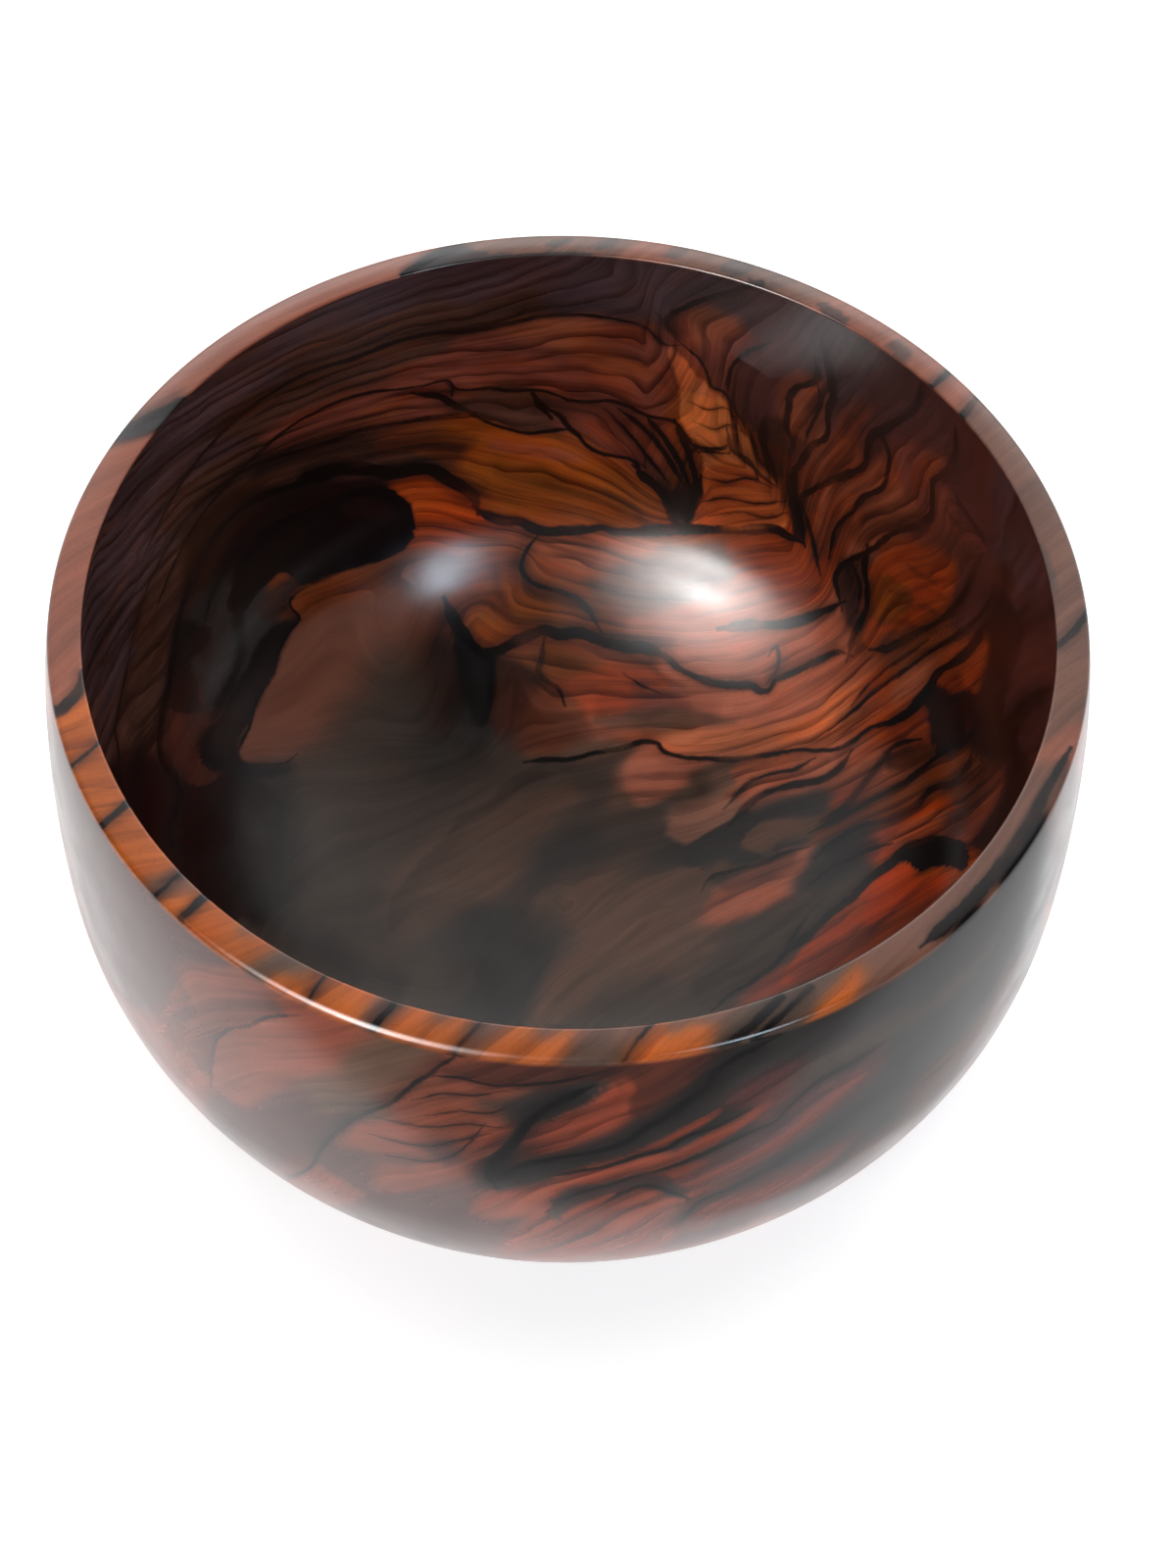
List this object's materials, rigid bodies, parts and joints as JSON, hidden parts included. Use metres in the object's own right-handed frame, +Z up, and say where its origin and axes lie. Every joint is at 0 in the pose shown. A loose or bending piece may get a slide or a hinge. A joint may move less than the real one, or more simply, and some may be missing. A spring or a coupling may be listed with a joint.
{
  "type": "wooden bowl",
  "caption": "Deep round wooden bowl turned from one block, with a full wall that closes in to a flat rim and a low ring foot; holds fruit, salad or loose things on a table.",
  "frame": {"origin": "centre of the foot ring's resting plane, on the bowl's axis", "axes": "+Z up along the bowl's axis; -Y towards the viewer of the picture, +X to the viewer's right"},
  "size_m": [0.231, 0.231, 0.148],
  "materials": {
    "figured_wood": "oiled and polished to a satin gloss"
  },
  "bodies": {
    "root": {"bowl": "figured_wood"}
  },
  "joints": []
}
